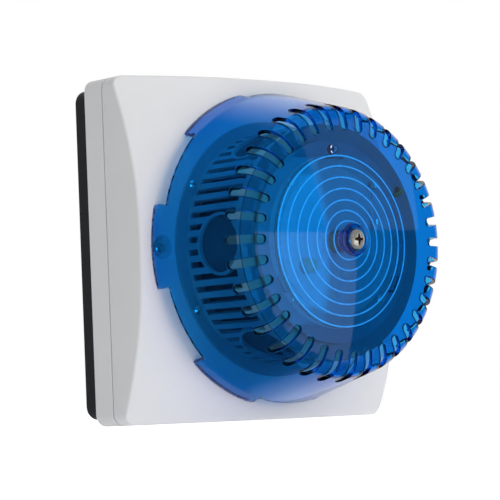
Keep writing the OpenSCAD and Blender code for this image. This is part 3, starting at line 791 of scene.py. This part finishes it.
def moulded(
    name, colour, rough, grain=0.5 * MM, depth=0.02 * MM, mottle=0.04, coat=0.0, bump=0.5, rim=None
):
    """Moulded plastic or rubber: fine mould texture, faint mottling and uneven gloss.

    rim is (colour, radius, depth): a painted shade colour that the surface takes beyond that radius and
    depth, dark teal for the blue-filtered light and shade under the dome.
    """
    material, tree, where = start_material(name)
    fine = add(tree, "ShaderNodeTexNoise", {
        "Vector": where, "Scale": 1 / grain, "Detail": 4.0, "Roughness": 0.6
    })
    broad = add(tree, "ShaderNodeTexNoise", {
        "Vector": where, "Scale": 30.0, "Detail": 5.0, "Roughness": 0.55
    })
    patches = between(tree, broad.outputs["Fac"], 0, 1)
    colour_socket = shades(tree, patches, scaled(colour, 1 - mottle), scaled(colour, 1 + mottle))
    # Painted shade: beyond the radius and depth the colour gives way to the darker teal one.
    if rim:
        painted_shade_colour, painted_shade_radius, painted_shade_depth = rim
        painted_shade_mix = add(tree, "ShaderNodeMix", data_type="RGBA")
        tree.links.new(beyond(tree, where, painted_shade_radius, painted_shade_depth), painted_shade_mix.inputs["Factor"])
        tree.links.new(colour_socket, painted_shade_mix.inputs["A"])
        tree.links.new(shades(tree, patches, scaled(painted_shade_colour, 0.9), painted_shade_colour), painted_shade_mix.inputs["B"])
        colour_socket = painted_shade_mix.outputs["Result"]
    relief = add(tree, "ShaderNodeBump", {
        "Height": fine.outputs["Fac"], "Strength": bump, "Distance": depth
    })
    shader = add(tree, "ShaderNodeBsdfPrincipled", {
        "Base Color": colour_socket,
        "Roughness": between(tree, broad.outputs["Fac"], rough - 0.05, rough + 0.05),
        "Normal": relief.outputs["Normal"],
        "Coat Weight": coat,
        "Coat Roughness": 0.15,
    })
    return finished(material, shader.outputs["BSDF"])


def metal(name, colour, rough, scratch=0.35 * MM, depth=0.004 * MM, metallic=0.7):
    """Plated metal: fine scratches, patchy gloss and slight toning."""
    material, tree, where = start_material(name)
    stretched = add(tree, "ShaderNodeMapping", {"Vector": where, "Scale": (1.0, 6.0, 6.0)})
    lines = add(tree, "ShaderNodeTexNoise", {
        "Vector": stretched.outputs["Vector"], "Scale": 1 / scratch, "Detail": 3.0
    })
    patch = add(tree, "ShaderNodeTexNoise", {"Vector": where, "Scale": 900.0, "Detail": 3.0})
    colour_socket = shades(
        tree, between(tree, patch.outputs["Fac"], 0, 1), scaled(colour, 0.82), scaled(colour, 1.1)
    )
    relief = add(tree, "ShaderNodeBump", {
        "Height": lines.outputs["Fac"], "Strength": 0.5, "Distance": depth
    })
    shader = add(tree, "ShaderNodeBsdfPrincipled", {
        "Base Color": colour_socket,
        "Metallic": metallic,
        "Roughness": between(tree, lines.outputs["Fac"], rough - 0.08, rough + 0.1),
        "Normal": relief.outputs["Normal"],
    })
    return finished(material, shader.outputs["BSDF"])


def see_through(name, tint, rough, index, absorb=None, density=0.0, lamp_tint=(1, 1, 1)):
    """Clear or tinted plastic or glass. Lamps shine straight through it, tinted on the way."""
    material, tree, where = start_material(name)
    haze = add(tree, "ShaderNodeTexNoise", {"Vector": where, "Scale": 45.0, "Detail": 4.0})
    waves = add(tree, "ShaderNodeTexNoise", {"Vector": where, "Scale": 160.0, "Detail": 2.0})
    relief = add(tree, "ShaderNodeBump", {
        "Height": waves.outputs["Fac"], "Strength": 0.6, "Distance": 0.0015 * MM
    })
    glass = add(tree, "ShaderNodeBsdfPrincipled", {
        "Base Color": (*tint, 1),
        "Roughness": between(tree, haze.outputs["Fac"], rough * 0.7, rough * 1.4),
        "IOR": index,
        "Transmission Weight": 1.0,
        "Normal": relief.outputs["Normal"],
    })
    lamp = add(tree, "ShaderNodeBsdfTransparent", {"Color": (*lamp_tint, 1)})
    ray = add(tree, "ShaderNodeLightPath")
    mix = add(tree, "ShaderNodeMixShader")
    tree.links.new(ray.outputs["Is Shadow Ray"], mix.inputs[0])
    tree.links.new(glass.outputs["BSDF"], mix.inputs[1])
    tree.links.new(lamp.outputs["BSDF"], mix.inputs[2])
    if not absorb:
        return finished(material, mix.outputs["Shader"])
    volume = add(tree, "ShaderNodeVolumeAbsorption", {"Color": (*absorb, 1), "Density": density})
    return finished(material, mix.outputs["Shader"], volume.outputs["Volume"])


def cloudy_with_painted_glow(name, colour):
    """Cloudy clear plastic that scatters the light that falls on it, with a faint pale blue painted glow
    that stands in for light caught on the lens's rings.
    """
    material, tree, where = start_material(name)
    cloud = add(tree, "ShaderNodeTexNoise", {"Vector": where, "Scale": 260.0, "Detail": 3.0})
    patches = between(tree, cloud.outputs["Fac"], 0, 1)
    shader = add(tree, "ShaderNodeBsdfPrincipled", {
        "Base Color": shades(tree, patches, scaled(colour, 0.8), colour),
        "Roughness": between(tree, cloud.outputs["Fac"], 0.2, 0.4),
        # Painted glow: the rings shine faintly pale blue, as painted light caught from above.
        "Emission Color": (0.55, 0.8, 1.0, 1),
        "Emission Strength": 0.32,
    })
    return finished(material, shader.outputs["BSDF"])


def lit(name):
    """The status LED's bright die in its cup."""
    material, tree, where = start_material(name)
    grain = add(tree, "ShaderNodeTexNoise", {"Vector": where, "Scale": 900.0, "Detail": 2.0})
    shader = add(tree, "ShaderNodeBsdfPrincipled", {
        "Base Color": (0.9, 0.85, 0.85, 1),
        "Roughness": 0.3,
        "Emission Color": (1.0, 0.1, 0.07, 1),
        "Emission Strength": between(tree, grain.outputs["Fac"], 12.0, 20.0),
    })
    return finished(material, shader.outputs["BSDF"])


def make_materials():
    """One material for each slot of the record."""
    return {
        "plate_black": moulded(
            "plate_black", (0.026, 0.028, 0.033), 0.55, grain=0.4 * MM, depth=0.05 * MM, bump=0.7
        ),
        "housing_grey": moulded(
            "housing_grey", (0.74, 0.745, 0.755), 0.42, grain=0.35 * MM, depth=0.006 * MM, mottle=0.012
        ),
        "dome_blue": see_through(
            "dome_blue", (0.93, 0.97, 1.0), 0.03, 1.5,
            absorb=(0.0, 0.765, 0.962), density=1000.0, lamp_tint=(1.25, 1.36, 1.36),
        ),
        "screw_steel": metal("screw_steel", (0.93, 0.90, 0.84), 0.2, metallic=0.8),
        "black_rubber": moulded(
            "black_rubber", (0.012, 0.012, 0.013), 0.7, grain=0.3 * MM, depth=0.03 * MM
        ),
        "brass": metal("brass", (0.72, 0.55, 0.24), 0.3),
        "cage_grey": moulded(
            "cage_grey", (0.32, 0.40, 0.42), 0.5, grain=0.4 * MM,
            # Painted shade: the cage's front face under the dome is painted dark teal, standing in for the
            # blue-filtered light and shade that falls there.
            rim=((0.045, 0.15, 0.19), 0, CAGE_FRONT - 2 * MM),
        ),
        "screen_black": moulded("screen_black", (0.15, 0.15, 0.155), 0.8, depth=0.1 * MM, bump=1.0),
        "horn_black": moulded("horn_black", (0.20, 0.20, 0.205), 0.5, grain=0.4 * MM),
        "yoke_steel": metal("yoke_steel", (0.55, 0.55, 0.56), 0.4),
        "ferrite": moulded(
            "ferrite", (0.03, 0.03, 0.032), 0.5, grain=0.25 * MM, depth=0.03 * MM, mottle=0.15
        ),
        "diaphragm_film": moulded("diaphragm_film", (0.55, 0.33, 0.09), 0.35, coat=0.3),
        "lens_clear": see_through(
            "lens_clear", (0.97, 0.985, 1.0), 0.05, 1.49, lamp_tint=(0.95, 0.97, 0.98)
        ),
        "board_green": moulded(
            "board_green", (0.02, 0.16, 0.07), 0.35, grain=1.2 * MM, depth=0.03 * MM, mottle=0.2, coat=0.4
        ),
        "board_white": moulded(
            "board_white", (0.29, 0.30, 0.31), 0.35, grain=1.2 * MM, mottle=0.05, coat=0.3,
            # Painted shade: the board outside the lens is painted dark teal, standing in for the
            # blue-filtered light and shade under the dome.
            rim=((0.07, 0.18, 0.22), LENS_HIGH[0], 0),
        ),
        "reflector_white": moulded(
            "reflector_white", (0.40, 0.41, 0.42), 0.3, grain=0.8 * MM, coat=0.2
        ),
        "tube_glass": see_through("tube_glass", (0.98, 0.99, 1.0), 0.02, 1.45),
        "led_clear": see_through("led_clear", (0.95, 0.96, 0.98), 0.04, 1.5),
        "copper_coil": metal(
            "copper_coil", (0.62, 0.30, 0.10), 0.35, scratch=0.2 * MM, depth=0.03 * MM
        ),
        "terminal_green": moulded("terminal_green", (0.02, 0.2, 0.07), 0.45),
        "capacitor_sleeve": moulded("capacitor_sleeve", (0.015, 0.02, 0.09), 0.3, coat=0.3),
        "transformer_tape": moulded("transformer_tape", (0.62, 0.43, 0.05), 0.4, mottle=0.1),
        "chip_black": moulded("chip_black", (0.015, 0.015, 0.016), 0.6),
        "switch_black": moulded("switch_black", (0.02, 0.02, 0.022), 0.5),
        "button_red": moulded("button_red", (0.4, 0.02, 0.015), 0.35),
        "carrier_white": moulded("carrier_white", (0.72, 0.71, 0.67), 0.5),
        "battery_case": moulded("battery_case", (0.03, 0.032, 0.038), 0.45),
        "lead_red": moulded("lead_red", (0.35, 0.015, 0.01), 0.4),
        "lead_black": moulded("lead_black", (0.015, 0.015, 0.016), 0.45),
        "lead_yellow": moulded("lead_yellow", (0.20, 0.17, 0.03), 0.4),
    }


# ---------- lights, floor and camera ----------


# How bright the room is to scattered light, and how dark and bright it is to mirrored and refracted rays
AMBIENT = 0.38
MIRRORED = (0.02, 0.9)
REFRACTED = (0.06, 1.0)
BACKDROP_WAY = (0.655, 0.753, 0.064)
MIRRORED_EDGE = (0.5, 0.8)
REFRACTED_EDGE = (0.35, 0.65)
CARD_DISTANCE = 1.2


def aim(thing, place, target):
    """Puts a thing at a place, looking at the target."""
    thing.location = place
    thing.rotation_mode = "QUATERNION"
    thing.rotation_quaternion = (Vector(target) - Vector(place)).to_track_quat("-Z", "Y")


def softbox(name, place, target, width, height, power, mirrored=False):
    """Rectangular lamp, hidden from mirror reflections unless it says otherwise."""
    lamp = bpy.data.lights.new(name, "AREA")
    lamp.shape = "RECTANGLE"
    lamp.size, lamp.size_y = width, height
    lamp.energy = power
    made = bpy.data.objects.new(name, lamp)
    bpy.context.scene.collection.objects.link(made)
    aim(made, place, target)
    made.visible_glossy = mirrored
    return made


def make_world():
    """White backdrop, with a dim room and dark sides that give clear edges their outline."""
    world = bpy.data.worlds.new("studio")
    world.use_nodes = True
    tree = world.node_tree
    tree.nodes.clear()
    ray = add(tree, "ShaderNodeLightPath")
    toward = add(tree, "ShaderNodeVectorMath", operation="DOT_PRODUCT")
    tree.links.new(add(tree, "ShaderNodeTexCoord").outputs["Generated"], toward.inputs[0])
    toward.inputs[1].default_value = BACKDROP_WAY
    share = toward.outputs["Value"]
    level = AMBIENT
    for factor, value in (
        (ray.outputs["Is Glossy Ray"], between(tree, share, *MIRRORED, *MIRRORED_EDGE)),
        (ray.outputs["Is Transmission Ray"], between(tree, share, *REFRACTED, *REFRACTED_EDGE)),
        (ray.outputs["Is Camera Ray"], 1.0),
        (between(tree, ray.outputs["Diffuse Depth"], 0, 1), AMBIENT),
    ):
        mix = add(tree, "ShaderNodeMix", {"Factor": factor, "A": level, "B": value}, data_type="FLOAT")
        level = mix.outputs["Result"]
    back = add(tree, "ShaderNodeBackground", {"Color": (1, 1, 1, 1), "Strength": level})
    out = add(tree, "ShaderNodeOutputWorld")
    tree.links.new(back.outputs["Background"], out.inputs["Surface"])
    bpy.context.scene.world = world


def make_floor():
    """Pale floor just under the siren, nearly as white to the camera as the backdrop."""
    half, steps = 4.0, 24
    level = -HALF_W - 0.2 * MM
    bm = bmesh.new()
    marks = [-half + 2 * half * k / steps for k in range(steps + 1)]
    rows = [[bm.verts.new((x, y, level)) for x in marks] for y in marks]
    for a, b in zip(rows, rows[1:]):
        for k in range(steps):
            bm.faces.new((a[k], a[k + 1], b[k + 1], b[k]))
    floor = new_object("floor", bm)
    material, tree, where = start_material("floor_pale")
    cloud = add(tree, "ShaderNodeTexNoise", {"Vector": where, "Scale": 3.0, "Detail": 3.0})
    colour = shades(tree, cloud.outputs["Fac"], (0.90, 0.90, 0.90), (0.93, 0.93, 0.93))
    to_camera = add(tree, "ShaderNodeLightPath").outputs["Is Camera Ray"]
    shader = add(tree, "ShaderNodeBsdfPrincipled", {
        "Base Color": colour, "Roughness": 0.9, "Emission Color": (1, 1, 1, 1),
        "Emission Strength": between(tree, to_camera, 0.35, 0.95, 0, 1),
    })
    floor.data.materials.append(finished(material, shader.outputs["BSDF"]))
    floor.visible_glossy = False
    floor.visible_transmission = False


def make_camera():
    """Camera at the left of the front, a little below the middle, with a slight roll."""
    azimuth, elevation, roll = radians(-40.916), radians(-3.663), radians(-2.361)
    distance = 1.4312
    target = Vector((-0.0005, -0.0400, 0.0009))
    back = heading(azimuth, elevation)
    side = (-back).cross(Vector((0, 0, 1))).normalized()
    top = side.cross(-back)
    right = side * cos(roll) + top * sin(roll)
    up = top * cos(roll) - side * sin(roll)
    data = bpy.data.cameras.new("camera")
    data.sensor_width = 36
    data.lens = 173.26
    data.clip_end = 50
    camera = bpy.data.objects.new("camera", data)
    place = target + back * distance
    camera.matrix_world = Matrix((
        (right.x, up.x, back.x, place.x),
        (right.y, up.y, back.y, place.y),
        (right.z, up.z, back.z, place.z),
        (0, 0, 0, 1),
    ))
    bpy.context.scene.collection.objects.link(camera)
    bpy.context.scene.camera = camera


def heading(azimuth, elevation):
    """Direction seen from the siren: azimuth from the front towards +X, elevation upwards."""
    return Vector((sin(azimuth) * cos(elevation), -cos(azimuth) * cos(elevation), sin(elevation)))


def reflection_card(name, azimuths, elevations, luminance):
    """Dim panel that the dome mirrors, between two azimuths and two elevations seen from the dome."""
    azimuth, elevation = (radians(sum(pair) / 2) for pair in (azimuths, elevations))
    width, height = (
        2 * CARD_DISTANCE * tan(radians(high - low) / 2) for low, high in (azimuths, elevations)
    )
    middle = Vector((0, -DOME_TOP, 0))
    place = middle + heading(azimuth, elevation) * CARD_DISTANCE
    power = luminance * pi * width * height
    softbox(name, place, middle, width, height, power, mirrored=True)


def make_lights():
    """Large key light in front, weaker ones above and at the lower left, and two panels to mirror."""
    middle = (0, -0.06, 0)
    softbox("key_front", (0.35, -1.6, 0.1), middle, 1.2, 1.0, 13)
    softbox("top", (-0.1, -0.4, 1.3), middle, 1.2, 1.0, 6)
    softbox("fill_left", (-1.2, -0.9, -0.5), middle, 1.0, 1.0, 12)
    reflection_card("card_low_left", (2, 42.8), (-26, 5.4), 0.65)
    reflection_card("card_high", (33, 66), (5.6, 30), 0.3)


# ---------- the siren ----------


def dress(materials):
    """Gives every shown piece the material of its record slot."""
    slots = {part["node"]: part["material_slot"] for part in frame["record"]["subparts"]}
    for node, thing in frame["nodes"].items():
        thing.data.materials.clear()
        thing.data.materials.append(materials[slots[node]])
    return slots


def stand_in(piece, node, materials, slots, finish=None):
    """Puts a piece in a CAD node's place, on the same body and with the same finish or one of its own."""
    body = next(b for b, nodes in frame["record"]["behaviour"]["bodies"].items() if node in nodes)
    piece.data.materials.clear()
    piece.data.materials.append(finish or materials[slots[node]])
    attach(piece, body)
    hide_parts(node)


def make_siren():
    """Finishes for every piece, and detailed pieces in place of those that show."""
    materials = make_materials()
    slots = dress(materials)
    # The lens's ridges get cloudy plastic with a faint painted glow that stands in for the light they catch.
    ridge_finish_with_painted_glow = cloudy_with_painted_glow("lens_cloudy_painted_glow", (0.85, 0.93, 0.97))
    # Painted shade: the screw's cross is coloured dark brown to stand for the shade deep in its recess.
    cross_shade = metal("cross_painted_shade", (0.09, 0.05, 0.03), 0.5)
    stand_in(make_front_cover(), "front_cover", materials, slots)
    stand_in(make_dome(), "lens_dome", materials, slots)
    stand_in(make_lens(), "fresnel_lens", materials, slots)
    stand_in(make_ridges(), "fresnel_lens", materials, slots, ridge_finish_with_painted_glow)
    stand_in(make_led(), "status_led", materials, slots, lit("led_lit"))
    stand_in(make_screw_head(), "dome_screw", materials, slots)
    stand_in(make_screw_cross(), "dome_screw", materials, slots, cross_shade)
    rounded = {
        "wall_plate": 0.8 * MM,
        "base_housing": 0.8 * MM,
        "sounder_cage": 0.25 * MM,
        "status_led": 0.03 * MM,
        "cover_screws": 0.15 * MM,
    }
    for node, width in rounded.items():
        stand_in(softened(node, width), node, materials, slots)


make_camera()
make_world()
make_floor()
make_lights()
make_siren()
scene = bpy.context.scene
scene.view_settings.view_transform = "Standard"
scene.cycles.max_bounces = 16
scene.cycles.transmission_bounces = 16
scene.cycles.transparent_max_bounces = 32
